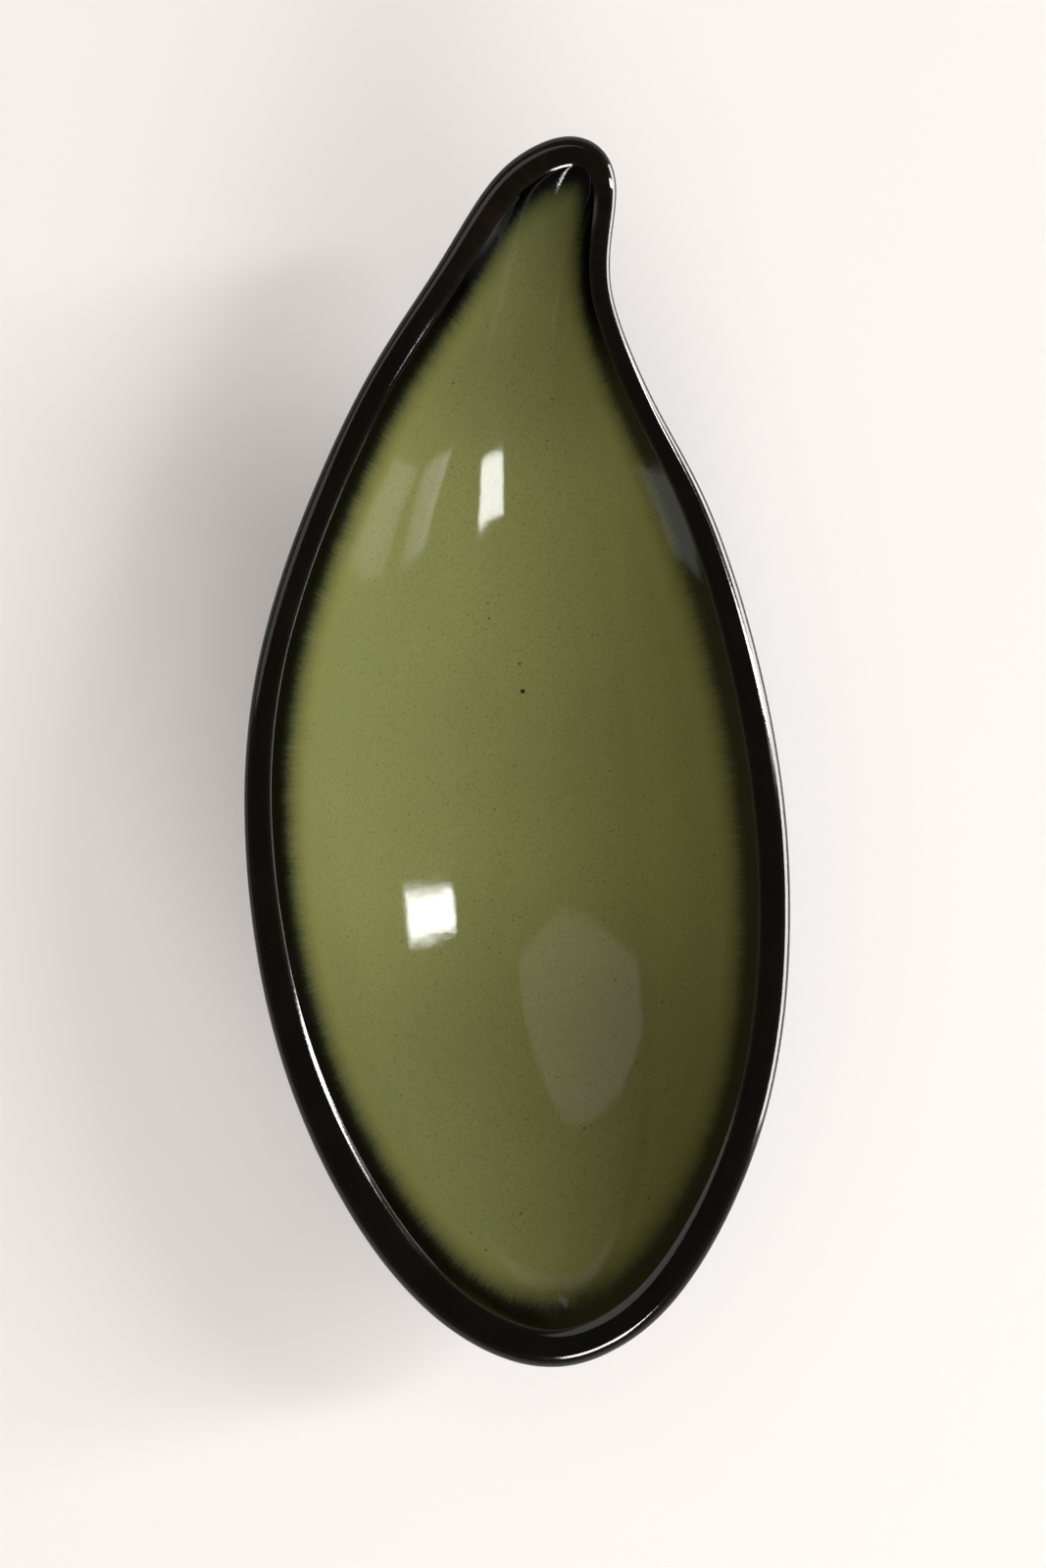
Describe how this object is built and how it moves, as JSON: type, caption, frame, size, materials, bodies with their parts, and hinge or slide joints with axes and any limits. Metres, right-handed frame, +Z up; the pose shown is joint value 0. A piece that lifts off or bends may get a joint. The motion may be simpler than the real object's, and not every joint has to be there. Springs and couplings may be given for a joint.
{
  "type": "olive dish",
  "caption": "Leaf-shaped free-form dish with a glossy olive-green bowl, thick rounded black lip, bent swept-up tip and an oval foot, for serving olives or snacks.",
  "frame": {"origin": "centre of the bounding box, on the table under the foot", "axes": "+Z up out of the open bowl, +Y toward the swept-up tip, +X toward the side the tip bends to"},
  "size_m": [0.143, 0.32, 0.086],
  "materials": {
    "clay": "unglazed buff earthenware",
    "olive_glaze": "glossy olive-green glaze",
    "black_glaze": "glossy black glaze, brown where thin"
  },
  "bodies": {
    "root": {"bowl_shell": "clay", "rim_coil": "clay", "foot_ring": "clay", "green_glaze": "olive_glaze", "black_glaze": "black_glaze", "base_glaze": "black_glaze"}
  },
  "joints": []
}
